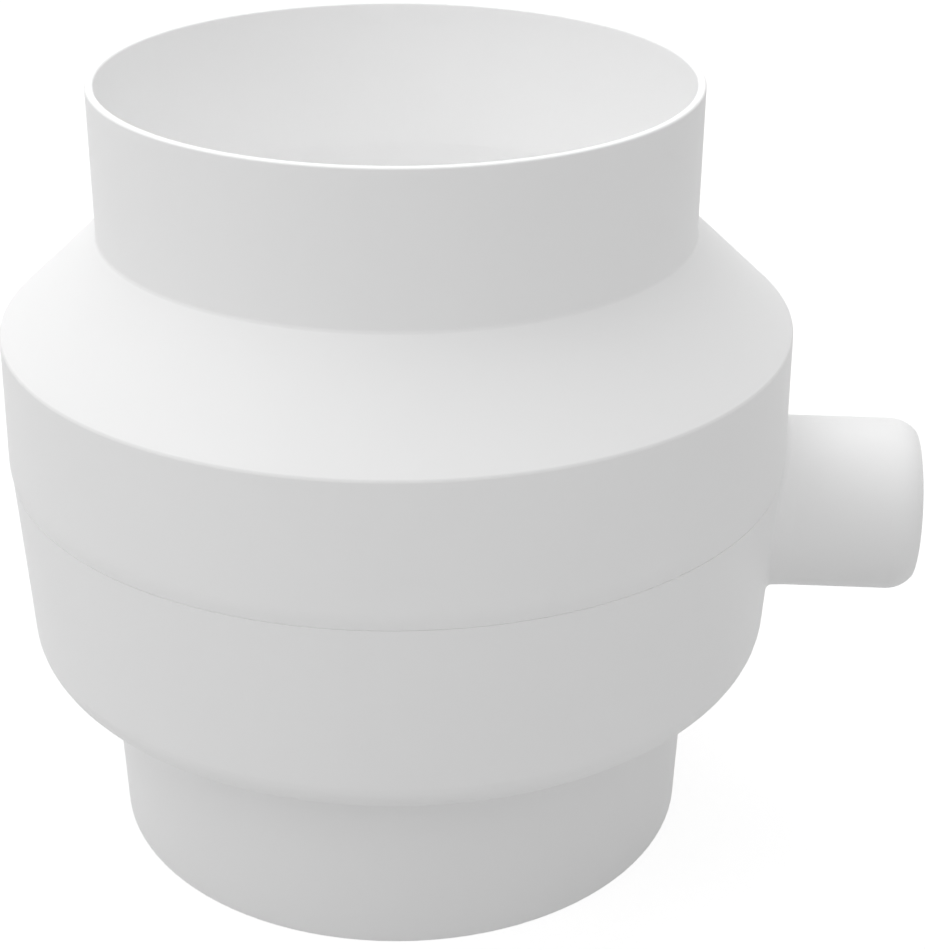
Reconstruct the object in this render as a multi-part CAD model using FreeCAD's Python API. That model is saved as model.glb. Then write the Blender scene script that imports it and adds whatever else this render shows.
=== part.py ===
import FreeCAD, Part
import math
import os

from FreeCAD import Vector

# Condensate collector for a 110 mm vent pipe: a moulded cover bonded on to a moulded collecting bowl.
# Millimetres. The origin is on the pipe axis in the plane of the lower mouth, +Z runs up the pipe,
# and the drain stub points along +X.

# Pipes that the collector joins
PIPE_OD = 110.0
PIPE_CLEARANCE = 0.2
DRAIN_OD = 33.0

# Heights, stacked from the lower mouth upwards
SOCKET_DEPTH = 38.0
BOWL_HEIGHT = 38.8
SKIRT_HEIGHT = 26.9
CONE_HEIGHT = 17.4
SPIGOT_LENGTH = 27.4

# Walls
WALL = 2.2
SPIGOT_WALL = 1.5
SOCKET_MOUTH_WALL = 1.5
SOCKET_ROOT_WALL = 2.8

# Drum that holds the gutter round the pipe
DRUM_REACH = 19.0
SKIRT_DRAFT = 0.5
BOWL_DRAFT = 2.0
SEAM_STEP = 0.4
SEAM_EASE = 2.4

# Half-lap between the two mouldings
LAP_SKIRT_WALL = 1.2
LAP_CLEARANCE = 0.1
LAP_END_GAP = 0.4
LAP_MARGIN = 2.5

# Lip that carries the spigot's bore on below the cone, so that water drips into the gutter
DRIP_LIP_LENGTH = 8.0
DRIP_LIP_DRAFT = 0.5
DRIP_LIP_ROOT_WALL = 2.0
DRIP_LIP_END_WALL = 1.2

# Upstand inside the gutter, on the ledge that stops the pipe
PIPE_STOP = 4.7
UPSTAND_WALL = 2.0
UPSTAND_HEIGHT = 57.8
UPSTAND_LEAN = 4.2

# Drain stub and the arched key that carries it through the seam
DRAIN_WALL = 2.4
DRAIN_LENGTH = 25.2
DRAIN_SILL = 3.2
DRAIN_FLARE = 0.3
DRAIN_LEAD_LENGTH = 4.6
DRAIN_LEAD_DROP = 2.1
KEY_MARGIN = 0.5
KEY_GAP = 0.25

# Edge rounds
ROOT_FILLET = 1.2
BOWL_EDGE_ROUND = 7.0
SOCKET_ROOT_FILLET = 1.5
SHOULDER_ROUND = 0.8
SPIGOT_ROOT_FILLET = 0.8
RIM_ROUND = 0.4
SEAM_EASE_ROUND = 9.0
SKIRT_EDGE_ROUND = 0.2

# Levels
UNDERSIDE_Z = SOCKET_DEPTH
FLOOR_Z = UNDERSIDE_Z + WALL
SEAM_Z = UNDERSIDE_Z + BOWL_HEIGHT
SHOULDER_Z = SEAM_Z + SKIRT_HEIGHT
CONE_TOP_Z = SHOULDER_Z + CONE_HEIGHT
TOP_Z = CONE_TOP_Z + SPIGOT_LENGTH

# Radii about the pipe axis
SPIGOT_R = PIPE_OD / 2
SOCKET_R = SPIGOT_R + PIPE_CLEARANCE
SKIRT_R = SPIGOT_R + DRUM_REACH
SHOULDER_R = SKIRT_R - SKIRT_DRAFT
BOWL_RIM_R = SKIRT_R - SEAM_STEP
BOWL_BASE_R = BOWL_RIM_R - BOWL_DRAFT
TONGUE_OUT_R = SKIRT_R - LAP_SKIRT_WALL - LAP_CLEARANCE
UPSTAND_BASE_R = SOCKET_R - PIPE_STOP

# The drain axis, as low as the rounded edge lets it be, and what lies round it
DRAIN_R = DRAIN_OD / 2
DRAIN_ROOT_R = DRAIN_R + DRAIN_FLARE
DRAIN_Z = UNDERSIDE_Z + BOWL_EDGE_ROUND + DRAIN_SILL + ROOT_FILLET + DRAIN_ROOT_R
DRAIN_BORE_R = DRAIN_R - DRAIN_WALL
KEY_R = DRAIN_ROOT_R + ROOT_FILLET + KEY_MARGIN
LAP_TOP_Z = DRAIN_Z + KEY_R + LAP_MARGIN
CUT_TOP_Z = LAP_TOP_Z + LAP_MARGIN
DRAIN_SEAT_X = SKIRT_R + ROOT_FILLET
DRAIN_END_X = SKIRT_R + DRAIN_LENGTH

UP = Vector(0, 0, 1)
OUT = Vector(1, 0, 0)


def turned(points):
    """Revolve a closed outline of (radius, height) points about the pipe axis.

    The outline is drawn on the side away from the stub, so that no seam edge runs through the stub.
    """
    corners = [Vector(-radius, 0, height) for radius, height in points]
    outline = Part.makePolygon(corners + corners[:1])
    return Part.Face(outline).revolve(Vector(), UP, 360)


def ring_edge(shape, radius, height):
    """Find the circular edge about the pipe axis at a radius and height."""
    def miss(edge):
        centre = edge.Curve.Center
        return math.hypot(edge.Curve.Radius - radius, centre.z - height) + math.hypot(centre.x, centre.y)
    circles = [edge for edge in shape.Edges if isinstance(edge.Curve, Part.Circle)]
    return min(circles, key=miss)


def rounded(shape, rings):
    """Round ring edges given as (radius, height, size of the round)."""
    for radius, height, size in rings:
        shape = shape.makeFillet(size, [ring_edge(shape, radius, height)])
    return shape


def drain_cylinder(radius, start_x, end_x):
    """A cylinder along the drain axis."""
    return Part.makeCylinder(radius, end_x - start_x, Vector(start_x, 0, DRAIN_Z), OUT)


def bowl_wall_r(height):
    """Outer radius of the drafted bowl wall, carried on above the seam for the key."""
    return BOWL_BASE_R + BOWL_DRAFT * (height - UNDERSIDE_Z) / BOWL_HEIGHT


def cone_inside_z(radius):
    """Height of the cone's inner face at a radius, one wall in from its outer face."""
    slope = CONE_HEIGHT / (SHOULDER_R - SPIGOT_R)
    return CONE_TOP_Z - slope * (radius - SPIGOT_R) - WALL * math.hypot(1, slope)


def drain_stub():
    """The stub before it is bored: a flared root, a plain seat for the hose and a tangent lead-in arc."""
    arc_start_x = DRAIN_END_X - DRAIN_LEAD_LENGTH
    arc_r = (DRAIN_LEAD_LENGTH ** 2 + DRAIN_LEAD_DROP ** 2) / (2 * DRAIN_LEAD_DROP)
    half_turn = math.asin(DRAIN_LEAD_LENGTH / arc_r) / 2

    root = Vector(BOWL_BASE_R - WALL, 0, DRAIN_Z)
    root_top = root + UP * DRAIN_ROOT_R
    seat_start = Vector(DRAIN_SEAT_X, 0, DRAIN_Z + DRAIN_R)
    arc_start = Vector(arc_start_x, 0, DRAIN_Z + DRAIN_R)
    arc_centre = Vector(arc_start_x, 0, DRAIN_Z + DRAIN_R - arc_r)
    arc_middle = arc_centre + OUT * (arc_r * math.sin(half_turn)) + UP * (arc_r * math.cos(half_turn))
    arc_end = Vector(DRAIN_END_X, 0, DRAIN_Z + DRAIN_R - DRAIN_LEAD_DROP)
    end = Vector(DRAIN_END_X, 0, DRAIN_Z)
    outline = Part.Wire([
        Part.makeLine(root, root_top),
        Part.makeLine(root_top, seat_start),
        Part.makeLine(seat_start, arc_start),
        Part.Arc(arc_start, arc_middle, arc_end).toShape(),
        Part.makeLine(arc_end, end),
        Part.makeLine(end, root),
    ])
    return Part.Face(outline).revolve(root, OUT, 360)


def bowl_outside():
    """Socket, underside and drafted wall as one solid, with the wall carried up to the top of the lap."""
    body = turned([
        (0, 0),
        (SOCKET_R + SOCKET_MOUTH_WALL, 0),
        (SOCKET_R + SOCKET_ROOT_WALL, UNDERSIDE_Z),
        (BOWL_BASE_R, UNDERSIDE_Z),
        (bowl_wall_r(LAP_TOP_Z), LAP_TOP_Z),
        (0, LAP_TOP_Z),
    ])
    return rounded(body, [
        (SOCKET_R + SOCKET_MOUTH_WALL, 0, RIM_ROUND),
        (SOCKET_R + SOCKET_ROOT_WALL, UNDERSIDE_Z, SOCKET_ROOT_FILLET),
        (BOWL_BASE_R, UNDERSIDE_Z, BOWL_EDGE_ROUND),
    ])


def stub_root_edge(shape):
    """Where the stub leaves the drum wall, the only edge that is neither straight nor a circle."""
    return [edge for edge in shape.Edges if isinstance(edge.Curve, Part.BSplineCurve)]


def lap_recess():
    """What is cut from the bowl above the seam to leave the tongue, except in the arch of the key."""
    ring = turned([
        (TONGUE_OUT_R, SEAM_Z),
        (DRAIN_END_X, SEAM_Z),
        (DRAIN_END_X, CUT_TOP_Z),
        (TONGUE_OUT_R, CUT_TOP_Z),
    ])
    return ring.cut(drain_cylinder(KEY_R, SPIGOT_R, DRAIN_END_X + DRAIN_LENGTH))


def bowl_inside():
    """The gutter space above the floor, the pipe socket below it and the way through the floor."""
    gutter = turned([
        (0, FLOOR_Z),
        (bowl_wall_r(FLOOR_Z) - WALL, FLOOR_Z),
        (BOWL_RIM_R - WALL, SEAM_Z),
        (BOWL_RIM_R - WALL, CUT_TOP_Z),
        (0, CUT_TOP_Z),
    ])
    socket = Part.makeCylinder(SOCKET_R, SOCKET_DEPTH)
    way_through = Part.makeCylinder(UPSTAND_BASE_R, FLOOR_Z)
    corner = (bowl_wall_r(FLOOR_Z) - WALL, FLOOR_Z, BOWL_EDGE_ROUND - WALL)
    return [rounded(gutter, [corner]), socket, way_through]


def upstand():
    """The tapered tube on the floor that keeps the collected water out of the pipe."""
    top_z = FLOOR_Z + UPSTAND_HEIGHT
    top_r = UPSTAND_BASE_R - UPSTAND_LEAN
    tube = turned([
        (UPSTAND_BASE_R, UNDERSIDE_Z),
        (UPSTAND_BASE_R + UPSTAND_WALL, UNDERSIDE_Z),
        (UPSTAND_BASE_R + UPSTAND_WALL, FLOOR_Z),
        (top_r + UPSTAND_WALL, top_z),
        (top_r, top_z),
        (UPSTAND_BASE_R, FLOOR_Z),
    ])
    return rounded(tube, [(top_r + UPSTAND_WALL, top_z, RIM_ROUND), (top_r, top_z, RIM_ROUND)])


def collecting_bowl():
    """The lower moulding: socket, gutter, upstand, tongue, key and drain stub in one piece."""
    body = bowl_outside().fuse(drain_stub()).removeSplitter()
    body = body.makeFillet(ROOT_FILLET, stub_root_edge(body))
    body = body.cut([lap_recess()] + bowl_inside())
    body = body.fuse(upstand())
    return body.cut(drain_cylinder(DRAIN_BORE_R, SPIGOT_R + DRUM_REACH / 2, DRAIN_END_X)).removeSplitter()


def upper_cover():
    """The upper moulding: spigot, drip lip, cone and a skirt that laps over the bowl's tongue and key."""
    spigot_in_r = SPIGOT_R - SPIGOT_WALL
    lip_root_r = spigot_in_r + DRIP_LIP_ROOT_WALL
    lip_end_r = spigot_in_r + DRIP_LIP_DRAFT
    lip_start_z = cone_inside_z(spigot_in_r)
    lip_end_z = lip_start_z - DRIP_LIP_LENGTH
    skirt_in_r = SHOULDER_R - WALL
    lap_r = SKIRT_R - LAP_SKIRT_WALL
    lap_end_z = LAP_TOP_Z + LAP_END_GAP
    ease_r = SKIRT_R - SKIRT_DRAFT * SEAM_EASE / SKIRT_HEIGHT
    ease_z = SEAM_Z + SEAM_EASE
    shell = turned([
        (spigot_in_r, TOP_Z),
        (SPIGOT_R, TOP_Z),
        (SPIGOT_R, CONE_TOP_Z),
        (SHOULDER_R, SHOULDER_Z),
        (ease_r, ease_z),
        (BOWL_RIM_R, SEAM_Z),
        (lap_r, SEAM_Z),
        (lap_r, lap_end_z),
        (skirt_in_r, lap_end_z),
        (skirt_in_r, cone_inside_z(skirt_in_r)),
        (lip_root_r, cone_inside_z(lip_root_r)),
        (lip_end_r + DRIP_LIP_END_WALL, lip_end_z),
        (lip_end_r, lip_end_z),
        (spigot_in_r, lip_start_z),
    ])
    shell = rounded(shell, [
        (SPIGOT_R, TOP_Z, RIM_ROUND),
        (spigot_in_r, TOP_Z, RIM_ROUND),
        (SPIGOT_R, CONE_TOP_Z, SPIGOT_ROOT_FILLET),
        (lip_root_r, cone_inside_z(lip_root_r), SPIGOT_ROOT_FILLET),
        (lip_end_r + DRIP_LIP_END_WALL, lip_end_z, RIM_ROUND),
        (lip_end_r, lip_end_z, RIM_ROUND),
        (SHOULDER_R, SHOULDER_Z, SHOULDER_ROUND),
        (ease_r, ease_z, SEAM_EASE_ROUND),
        (BOWL_RIM_R, SEAM_Z, SKIRT_EDGE_ROUND),
    ])
    return shell.cut(drain_cylinder(KEY_R + KEY_GAP, SPIGOT_R, DRAIN_END_X))


def main():
    """Build both mouldings and write one file for each."""
    os.makedirs("parts", exist_ok=True)
    for name, shape in (("upper_cover", upper_cover()), ("collecting_bowl", collecting_bowl())):
        solid = shape.Solids[0]
        print(name, "solids", len(shape.Solids), "valid", solid.isValid(), "volume", round(solid.Volume, 1))
        solid.exportStep(f"parts/{name}.step")


main()
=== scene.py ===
"""Looks of a white condensate collector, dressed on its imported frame.

The collector is two injection mouldings of white polypropylene, bonded at a
seam round the drum. Both keep the frame's own shapes. This script gives every
face the finish of the tool half that moulded it, then sets up the studio and
the camera.
"""

import logging
import math
from dataclasses import dataclass, field
from enum import Enum
from typing import Any

import bpy
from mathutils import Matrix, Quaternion, Vector


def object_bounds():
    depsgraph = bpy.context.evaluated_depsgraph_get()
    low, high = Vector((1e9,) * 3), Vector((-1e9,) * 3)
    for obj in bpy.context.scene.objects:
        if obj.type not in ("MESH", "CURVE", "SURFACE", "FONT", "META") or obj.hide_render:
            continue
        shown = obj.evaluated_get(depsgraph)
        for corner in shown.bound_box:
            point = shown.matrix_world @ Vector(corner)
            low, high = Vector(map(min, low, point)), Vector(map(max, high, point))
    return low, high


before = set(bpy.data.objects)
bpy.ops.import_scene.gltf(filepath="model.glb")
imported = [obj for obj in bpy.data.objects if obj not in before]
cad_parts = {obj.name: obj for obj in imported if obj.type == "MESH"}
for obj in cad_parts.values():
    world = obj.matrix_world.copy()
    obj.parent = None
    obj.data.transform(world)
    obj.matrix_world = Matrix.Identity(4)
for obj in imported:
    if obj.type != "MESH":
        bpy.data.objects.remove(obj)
CAD_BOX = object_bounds()

MM = 0.001
# The photograph's width and height, in pixels.
IMAGE_SIZE = (925, 950)
SENSOR_MM = 36.0
WHITE = "#FFFFFF"
BYTE_MAX = 255
# The sRGB curve: a straight line for the darkest levels, then a power.
SRGB_LINE_END = 0.04045
SRGB_LINE_SLOPE = 12.92
SRGB_OFFSET = 0.055
SRGB_POWER = 2.4
LOG = logging.getLogger("collector")


def linear(colour: str) -> tuple[float, float, float, float]:
    """Turn an sRGB hex colour into linear light.

    Args:
        colour: six hex digits with a leading hash, such as "#E8E8E6".

    Returns:
        Red, green, blue and alpha, ready for a colour socket.
    """
    light = []
    for byte in bytes.fromhex(colour.lstrip("#")):
        level = byte / BYTE_MAX
        if level <= SRGB_LINE_END:
            light.append(level / SRGB_LINE_SLOPE)
        else:
            light.append(((level + SRGB_OFFSET) / (1 + SRGB_OFFSET)) ** SRGB_POWER)
    return (*light, 1.0)


def add_node(
    tree: bpy.types.NodeTree,
    kind: str,
    inputs: dict[str | int, Any] | None = None,
    **settings: Any,
) -> bpy.types.Node:
    """Add one node, set its properties, and fill or link its sockets.

    Args:
        tree: the node tree that gets the node.
        kind: Blender's name for the type of node.
        inputs: socket name or number, with a plain value or the output that feeds it.
        settings: properties of the node, such as a Math node's operation.

    Returns:
        The new node.
    """
    node = tree.nodes.new(kind)
    for name, value in settings.items():
        setattr(node, name, value)
    for key, value in (inputs or {}).items():
        if isinstance(value, bpy.types.NodeSocket):
            tree.links.new(value, node.inputs[key])
        else:
            node.inputs[key].default_value = value
    return node


class Slot(Enum):
    """The record's material slots."""

    WHITE_PLASTIC = "white_plastic"


class ToolFace(Enum):
    """The two halves of a moulding tool. Each leaves its own surface on the plastic."""

    CAVITY = 0
    CORE = 1


@dataclass(frozen=True)
class MouldedPolypropylene:
    """White polypropylene, injection moulded.

    The eye gets a soft milky white with a broad, low sheen: the pigment is
    titanium white, the polymer lets a little light travel inside the wall, and
    the tool's own surface blurs every reflection.

    Attributes:
        name: name of the finish.
        roughness: the least and most roughness across the surface.
        grain_mm: width of the tool's marks across the pipe axis and along it.
        grain_depth_mm: height of those marks.
        white: the usual colour of the pigmented polymer.
        dense_white: the same white where the melt packed a little denser.
        ior: refractive index of polypropylene.
        cloud_mm: width of the slow variation that packing leaves.
        cloud_detail: how many finer layers that variation has.
        sink_mm: width of the shallow waves that cooling leaves.
        sink_depth_mm: height of those waves.
        relief_detail: how many finer layers the waves and the tool's marks have.
        milk_weight: share of the light that travels inside the wall.
        milk_depth_mm: how far that light travels.
        milk_spread: share of that depth for red, green and blue. White pigment treats them alike.
    """

    name: str
    roughness: tuple[float, float]
    grain_mm: tuple[float, float]
    grain_depth_mm: float
    white: str = "#F9F9F9"
    dense_white: str = "#F7F7F7"
    ior: float = 1.49
    cloud_mm: float = 30.0
    cloud_detail: float = 2.0
    sink_mm: float = 14.0
    sink_depth_mm: float = 0.015
    relief_detail: float = 1.0
    milk_weight: float = 0.1
    milk_depth_mm: float = 1.0
    milk_spread: tuple[float, float, float] = (1.0, 1.0, 1.0)

    def build(self) -> bpy.types.Material:
        """Make the material from its nodes.

        Returns:
            The finished material.
        """
        material = bpy.data.materials.new(self.name)
        material.use_nodes = True
        tree = material.node_tree
        tree.nodes.clear()
        place = add_node(tree, "ShaderNodeTexCoord").outputs["Object"]

        def cloud(across_mm: float, along_mm: float, detail: float) -> bpy.types.NodeSocket:
            """Give noise whose lumps have a real width.

            Args:
                across_mm: width of the lumps across the pipe axis.
                along_mm: their length along it.
                detail: how many finer layers the noise has.

            Returns:
                The noise, from 0 to 1.
            """
            scale = (1 / (across_mm * MM), 1 / (across_mm * MM), 1 / (along_mm * MM))
            spread = add_node(tree, "ShaderNodeMapping", {"Vector": place, "Scale": scale})
            noise = {"Vector": spread.outputs[0], "Scale": 1.0, "Detail": detail}
            return add_node(tree, "ShaderNodeTexNoise", noise).outputs[0]

        packing = cloud(self.cloud_mm, self.cloud_mm, self.cloud_detail)
        tint = add_node(tree, "ShaderNodeMix", {
            "Factor": packing, "A": linear(self.white), "B": linear(self.dense_white),
        }, data_type="RGBA")
        low, high = self.roughness
        sheen = add_node(tree, "ShaderNodeMapRange", {
            "Value": packing, "To Min": low, "To Max": high,
        })
        sink = add_node(tree, "ShaderNodeBump", {
            "Height": cloud(self.sink_mm, self.sink_mm, self.relief_detail),
            "Distance": self.sink_depth_mm * MM,
        })
        grain = add_node(tree, "ShaderNodeBump", {
            "Height": cloud(*self.grain_mm, self.relief_detail),
            "Distance": self.grain_depth_mm * MM,
            "Normal": sink.outputs["Normal"],
        })
        shader = add_node(tree, "ShaderNodeBsdfPrincipled", {
            "Base Color": tint.outputs["Result"],
            "Roughness": sheen.outputs["Result"],
            "IOR": self.ior,
            "Normal": grain.outputs["Normal"],
            "Subsurface Weight": self.milk_weight,
            "Subsurface Radius": self.milk_spread,
            "Subsurface Scale": self.milk_depth_mm * MM,
        })
        add_node(tree, "ShaderNodeOutputMaterial", {"Surface": shader.outputs["BSDF"]})
        return material


# A blasted cavity leaves an even matt. Its real grain is about 0.05 mm, and is
# drawn as coarse as it needs to show.
MATT_CAVITY = MouldedPolypropylene(
    "polypropylene_from_blasted_cavity",
    roughness=(0.5, 0.6), grain_mm=(0.5, 0.5), grain_depth_mm=0.004,
)
# A core is polished along the way it draws, so its faint lines run along the
# pipe axis and it shines a little more. The real lines are about 0.02 mm apart,
# and are drawn as coarse as they need to show.
DRAWN_CORE = MouldedPolypropylene(
    "polypropylene_from_drawn_core",
    roughness=(0.38, 0.46), grain_mm=(0.6, 30.0), grain_depth_mm=0.002,
)


@dataclass
class Moulding:
    """One moulding of the collector, on the node that the frame gives for it.

    Attributes:
        node: name of the frame's node.
        bore_mm: heights and radii of the line that parts core from cavity, from the bottom up.
            The line runs just outside the bore, so that the bore's own faces count as core.
        slot: the record's material slot. It is not used.
    """

    node: str
    bore_mm: tuple[tuple[float, float], ...]
    slot: Slot = Slot.WHITE_PLASTIC

    def bore_r(self, height_mm: float) -> float:
        """Find the radius inside which the core made the surface.

        Args:
            height_mm: height above the lower mouth.

        Returns:
            The radius at that height, in millimetres.
        """
        below = self.bore_mm[0]
        for above in self.bore_mm[1:]:
            if height_mm < above[0]:
                share = max(0.0, (height_mm - below[0]) / (above[0] - below[0]))
                return below[1] + share * (above[1] - below[1])
            below = above
        return below[1]

    def tool_face(self, middle_mm: Vector) -> ToolFace:
        """Tell which half of the tool made a face.

        Args:
            middle_mm: the middle of the face, in millimetres.

        Returns:
            The half of the tool.
        """
        inside = math.hypot(middle_mm.x, middle_mm.y) < self.bore_r(middle_mm.z)
        return ToolFace.CORE if inside else ToolFace.CAVITY

    def dress(self, finishes: dict[ToolFace, bpy.types.Material]) -> bpy.types.Object:
        """Give every face of the node the finish of its tool half.

        Args:
            finishes: the material that each tool half leaves.

        Returns:
            The dressed object.
        """
        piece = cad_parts[self.node]
        mesh = piece.data
        mesh.materials.clear()
        for half in ToolFace:
            mesh.materials.append(finishes[half])
        faces = [self.tool_face(polygon.center / MM).value for polygon in mesh.polygons]
        mesh.polygons.foreach_set("material_index", faces)
        mesh.update()
        LOG.info("%s: %d faces, %d of them from the core", self.node, len(faces), sum(faces))
        return piece


@dataclass
class UpperCover(Moulding):
    """Spigot, drip lip, cone and skirt: the moulding above the seam.

    The parting line follows the lap, then the inside of the skirt, then the
    inside of the cone up to the spigot's bore.
    """

    node: str = "upper_cover"
    bore_mm: tuple[tuple[float, float], ...] = (
        (76.9, 73.0), (87.7, 73.0),
        (87.8, 71.5), (101.5, 71.5),
        (117.6, 55.7), (119.0, 53.7),
    )


@dataclass
class CollectingBowl(Moulding):
    """Socket, floor, upstand, drum wall and drain stub: the moulding below the seam.

    The parting line follows the inside of the pipe socket, then the inside of
    the drafted drum wall.

    Attributes:
        drain_z_mm: height of the drain stub's axis.
        drain_bore_r_mm: radius just outside the stub's bore, so that its faces count as core too.
    """

    node: str = "collecting_bowl"
    bore_mm: tuple[tuple[float, float], ...] = (
        (0.2, 55.4), (40.1, 55.4),
        (40.15, 69.8), (76.8, 71.7),
    )
    drain_z_mm: float = 66.2
    drain_bore_r_mm: float = 14.2

    def tool_face(self, middle_mm: Vector) -> ToolFace:
        """Tell which half of the tool made a face, with the stub's bore as core.

        Args:
            middle_mm: the middle of the face, in millimetres.

        Returns:
            The half of the tool.
        """
        off_axis = math.hypot(middle_mm.y, middle_mm.z - self.drain_z_mm)
        if middle_mm.x > 0 and off_axis < self.drain_bore_r_mm:
            return ToolFace.CORE
        return super().tool_face(middle_mm)


class Aim(Enum):
    """What a lamp is turned to."""

    BODY = "the collector's middle"
    MOUTH = "the middle of the spigot's rim"


@dataclass(frozen=True)
class SoftBox:
    """One studio lamp behind a round diffuser.

    Attributes:
        name: name of the lamp.
        towards: direction from the aim to the lamp.
        power_w: radiant power.
        distance_m: distance from the aim.
        size_m: width of the diffuser.
        spread_deg: how wide the lamp throws its light. A grid over the diffuser makes it narrow.
        aim: what the lamp is turned to.
    """

    name: str
    towards: tuple[float, float, float]
    power_w: float
    distance_m: float = 1.1
    size_m: float = 1.0
    spread_deg: float = 180.0
    aim: Aim = Aim.BODY

    def place(self, aims: dict[Aim, Vector]) -> bpy.types.Object:
        """Set the lamp up, turned to its aim.

        Args:
            aims: where each aim is.

        Returns:
            The lamp's object.
        """
        lamp = bpy.data.lights.new(self.name, "AREA")
        lamp.shape = "DISK"
        lamp.size = self.size_m
        lamp.spread = math.radians(self.spread_deg)
        lamp.energy = self.power_w
        holder = bpy.data.objects.new(self.name, lamp)
        towards = Vector(self.towards).normalized()
        holder.location = aims[self.aim] + towards * self.distance_m
        holder.rotation_euler = towards.to_track_quat("Z", "Y").to_euler()
        holder.visible_camera = False
        bpy.context.scene.collection.objects.link(holder)
        return holder


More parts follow.
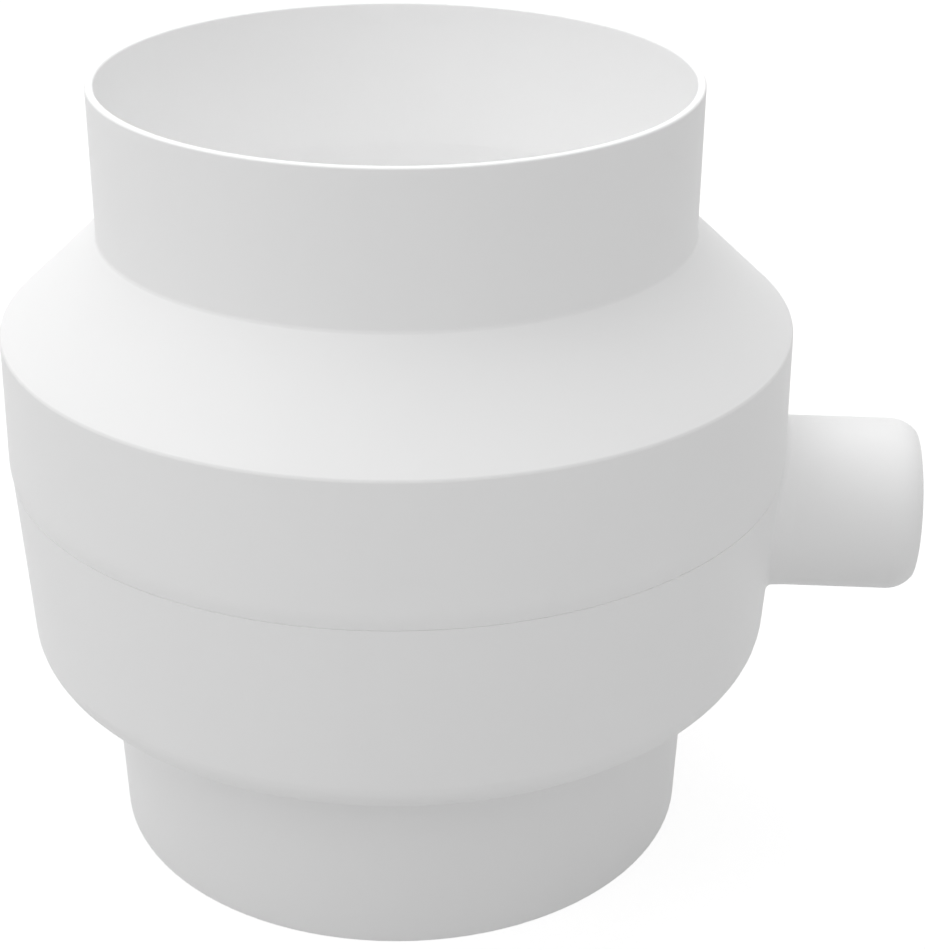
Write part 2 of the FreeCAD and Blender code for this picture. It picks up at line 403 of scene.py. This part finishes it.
@dataclass
class Studio:
    """A white room with a pale floor, soft lamps and a gridded lamp over the open spigot.

    Two of the soft lamps stand high at the back, and three stand lower in front.

    Attributes:
        ambient: brightness of the white room as the collector's light.
        room_white: brightness of the room where it is looked at.
        bounces: how often light is followed from white wall to white wall inside the collector.
        floor_r_m: radius of the round floor, which ends inside the lamps' light.
        floor_corners: number of corners in its outline.
        floor_gap_mm: how far the floor lies under the collector, so that they share no plane.
        floor_grey: the floor's paint, as the light that it throws back on the collector.
        floor_glow: brightness that the floor shows by itself where it is looked at.
        floor_shade: share of the studio's light that the floor shows on top of that.
        lamps: the lamps.
    """

    ambient: float = 0.52
    room_white: float = 1.0
    bounces: int = 12
    floor_r_m: float = 0.8
    floor_corners: int = 128
    floor_gap_mm: float = 0.05
    floor_grey: str = "#CBCBCB"
    floor_glow: float = 0.84
    floor_shade: str = "#8C8C8C"
    lamps: list[SoftBox] = field(default_factory=lambda: [
        SoftBox("back_softbox", (0.0, 0.41, 0.91), power_w=2.9),
        SoftBox("left_back_softbox", (-0.35, 0.2, 0.91), power_w=2.65),
        SoftBox("left_front_softbox", (-0.64, -0.37, 0.67), power_w=2.2),
        SoftBox("right_front_softbox", (0.64, -0.37, 0.67), power_w=0.5),
        SoftBox("front_softbox", (0.0, -0.74, 0.67), power_w=0.65),
        SoftBox(
            "mouth_lamp", (0.0, 0.0, 1.0), power_w=0.0225,
            distance_m=0.07, size_m=0.05, spread_deg=60.0, aim=Aim.MOUTH,
        ),
    ])

    @staticmethod
    def seen_directly(tree: bpy.types.NodeTree) -> bpy.types.NodeSocket:
        """Tell rays that look at the room from rays that gather its light.

        Args:
            tree: the tree that needs to know.

        Returns:
            1 for camera, glossy and transmission rays, otherwise 0.
        """
        path = add_node(tree, "ShaderNodeLightPath").outputs
        sharp = add_node(tree, "ShaderNodeMath", {
            0: path["Is Glossy Ray"], 1: path["Is Transmission Ray"],
        }, operation="MAXIMUM")
        looking = add_node(tree, "ShaderNodeMath", {
            0: path["Is Camera Ray"], 1: sharp.outputs[0],
        }, operation="MAXIMUM")
        return looking.outputs[0]

    def paint_room(self) -> None:
        """Make the world a white room that lights the collector evenly."""
        world = bpy.data.worlds.new("white_room")
        world.use_nodes = True
        tree = world.node_tree
        tree.nodes.clear()
        strength = add_node(tree, "ShaderNodeMapRange", {
            "Value": self.seen_directly(tree),
            "To Min": self.ambient,
            "To Max": self.room_white,
        })
        room = add_node(tree, "ShaderNodeBackground", {
            "Color": linear(WHITE), "Strength": strength.outputs["Result"],
        })
        add_node(tree, "ShaderNodeOutputWorld", {"Surface": room.outputs[0]})
        bpy.context.scene.world = world

    def floor_paint(self) -> bpy.types.Material:
        """Make the floor's paint, white to the eye but with the shadow kept.

        Returns:
            The floor's material.
        """
        material = bpy.data.materials.new("matt_floor_paint")
        material.use_nodes = True
        tree = material.node_tree
        tree.nodes.clear()
        glow = add_node(tree, "ShaderNodeEmission", {
            "Color": linear(WHITE), "Strength": self.floor_glow,
        })
        shade = add_node(tree, "ShaderNodeBsdfDiffuse", {"Color": linear(self.floor_shade)})
        shown = add_node(tree, "ShaderNodeAddShader", {0: glow.outputs[0], 1: shade.outputs[0]})
        paint = add_node(tree, "ShaderNodeBsdfDiffuse", {"Color": linear(self.floor_grey)})
        surface = add_node(tree, "ShaderNodeMixShader", {
            0: self.seen_directly(tree), 1: paint.outputs[0], 2: shown.outputs[0],
        })
        add_node(tree, "ShaderNodeOutputMaterial", {"Surface": surface.outputs[0]})
        return material

    def lay_floor(self, height_m: float) -> bpy.types.Object:
        """Lay the floor just under the collector.

        Args:
            height_m: height of the collector's lowest point.

        Returns:
            The floor's object.
        """
        level = height_m - self.floor_gap_mm * MM
        turns = [math.tau * corner / self.floor_corners for corner in range(self.floor_corners)]
        outline = [
            (self.floor_r_m * math.cos(turn), self.floor_r_m * math.sin(turn), level)
            for turn in turns
        ]
        mesh = bpy.data.meshes.new("floor")
        mesh.from_pydata(outline, [], [tuple(range(self.floor_corners))])
        mesh.materials.append(self.floor_paint())
        floor = bpy.data.objects.new("floor", mesh)
        bpy.context.scene.collection.objects.link(floor)
        return floor

    def build(self, low: Vector, high: Vector) -> None:
        """Build the whole studio round the collector.

        Args:
            low: lowest corner of the collector.
            high: highest corner of the collector.
        """
        self.paint_room()
        self.lay_floor(low.z)
        aims = {Aim.BODY: (low + high) / 2, Aim.MOUTH: Vector((0.0, 0.0, high.z))}
        for lamp in self.lamps:
            lamp.place(aims)
        bpy.context.scene.cycles.diffuse_bounces = self.bounces
        LOG.info("studio: %d lamps", len(self.lamps))


@dataclass(frozen=True)
class PhotoCamera:
    """The camera at the photograph's place.

    Attributes:
        aim_mm: the point in the middle of the picture.
        turn_deg: how far the camera stands round to the drain stub's side.
        rise_deg: how far it looks down.
        roll_deg: how far the camera leans round its own axis.
        distance_mm: distance from the aim.
        focal_px: focal length, in pixels of the photograph.
        nearest_mm: nearest distance that the camera shows.
    """

    aim_mm: tuple[float, float, float] = (12.24, 0.72, 68.75)
    turn_deg: float = 3.375
    rise_deg: float = 26.27
    roll_deg: float = 0.43
    distance_mm: float = 398.3
    focal_px: float = 2036.4
    nearest_mm: float = 10.0

    def place(self) -> bpy.types.Object:
        """Make the camera and hand it to the scene.

        Returns:
            The camera's object.
        """
        turn, rise = math.radians(self.turn_deg), math.radians(self.rise_deg)
        back = Vector((
            math.sin(turn) * math.cos(rise),
            -math.cos(turn) * math.cos(rise),
            math.sin(rise),
        ))
        lens = bpy.data.cameras.new("photo_camera")
        lens.sensor_width = SENSOR_MM
        lens.lens = self.focal_px / max(IMAGE_SIZE) * SENSOR_MM
        lens.clip_start = self.nearest_mm * MM
        camera = bpy.data.objects.new("photo_camera", lens)
        camera.location = (Vector(self.aim_mm) + back * self.distance_mm) * MM
        lean = Quaternion((0.0, 0.0, 1.0), math.radians(self.roll_deg))
        camera.rotation_euler = (back.to_track_quat("Z", "Y") @ lean).to_euler()
        bpy.context.scene.collection.objects.link(camera)
        bpy.context.scene.camera = camera
        return camera


def main() -> None:
    """Dress the mouldings, then build the studio and the camera."""
    logging.basicConfig(level=logging.INFO, format="%(name)s: %(message)s")
    finishes = {ToolFace.CAVITY: MATT_CAVITY.build(), ToolFace.CORE: DRAWN_CORE.build()}
    for moulding in (CollectingBowl(), UpperCover()):
        moulding.dress(finishes)
    low, high = (Vector(corner) for corner in CAD_BOX)
    Studio().build(low, high)
    PhotoCamera().place()
    bpy.context.scene.view_settings.view_transform = "Standard"


if __name__ == "__main__":
    main()
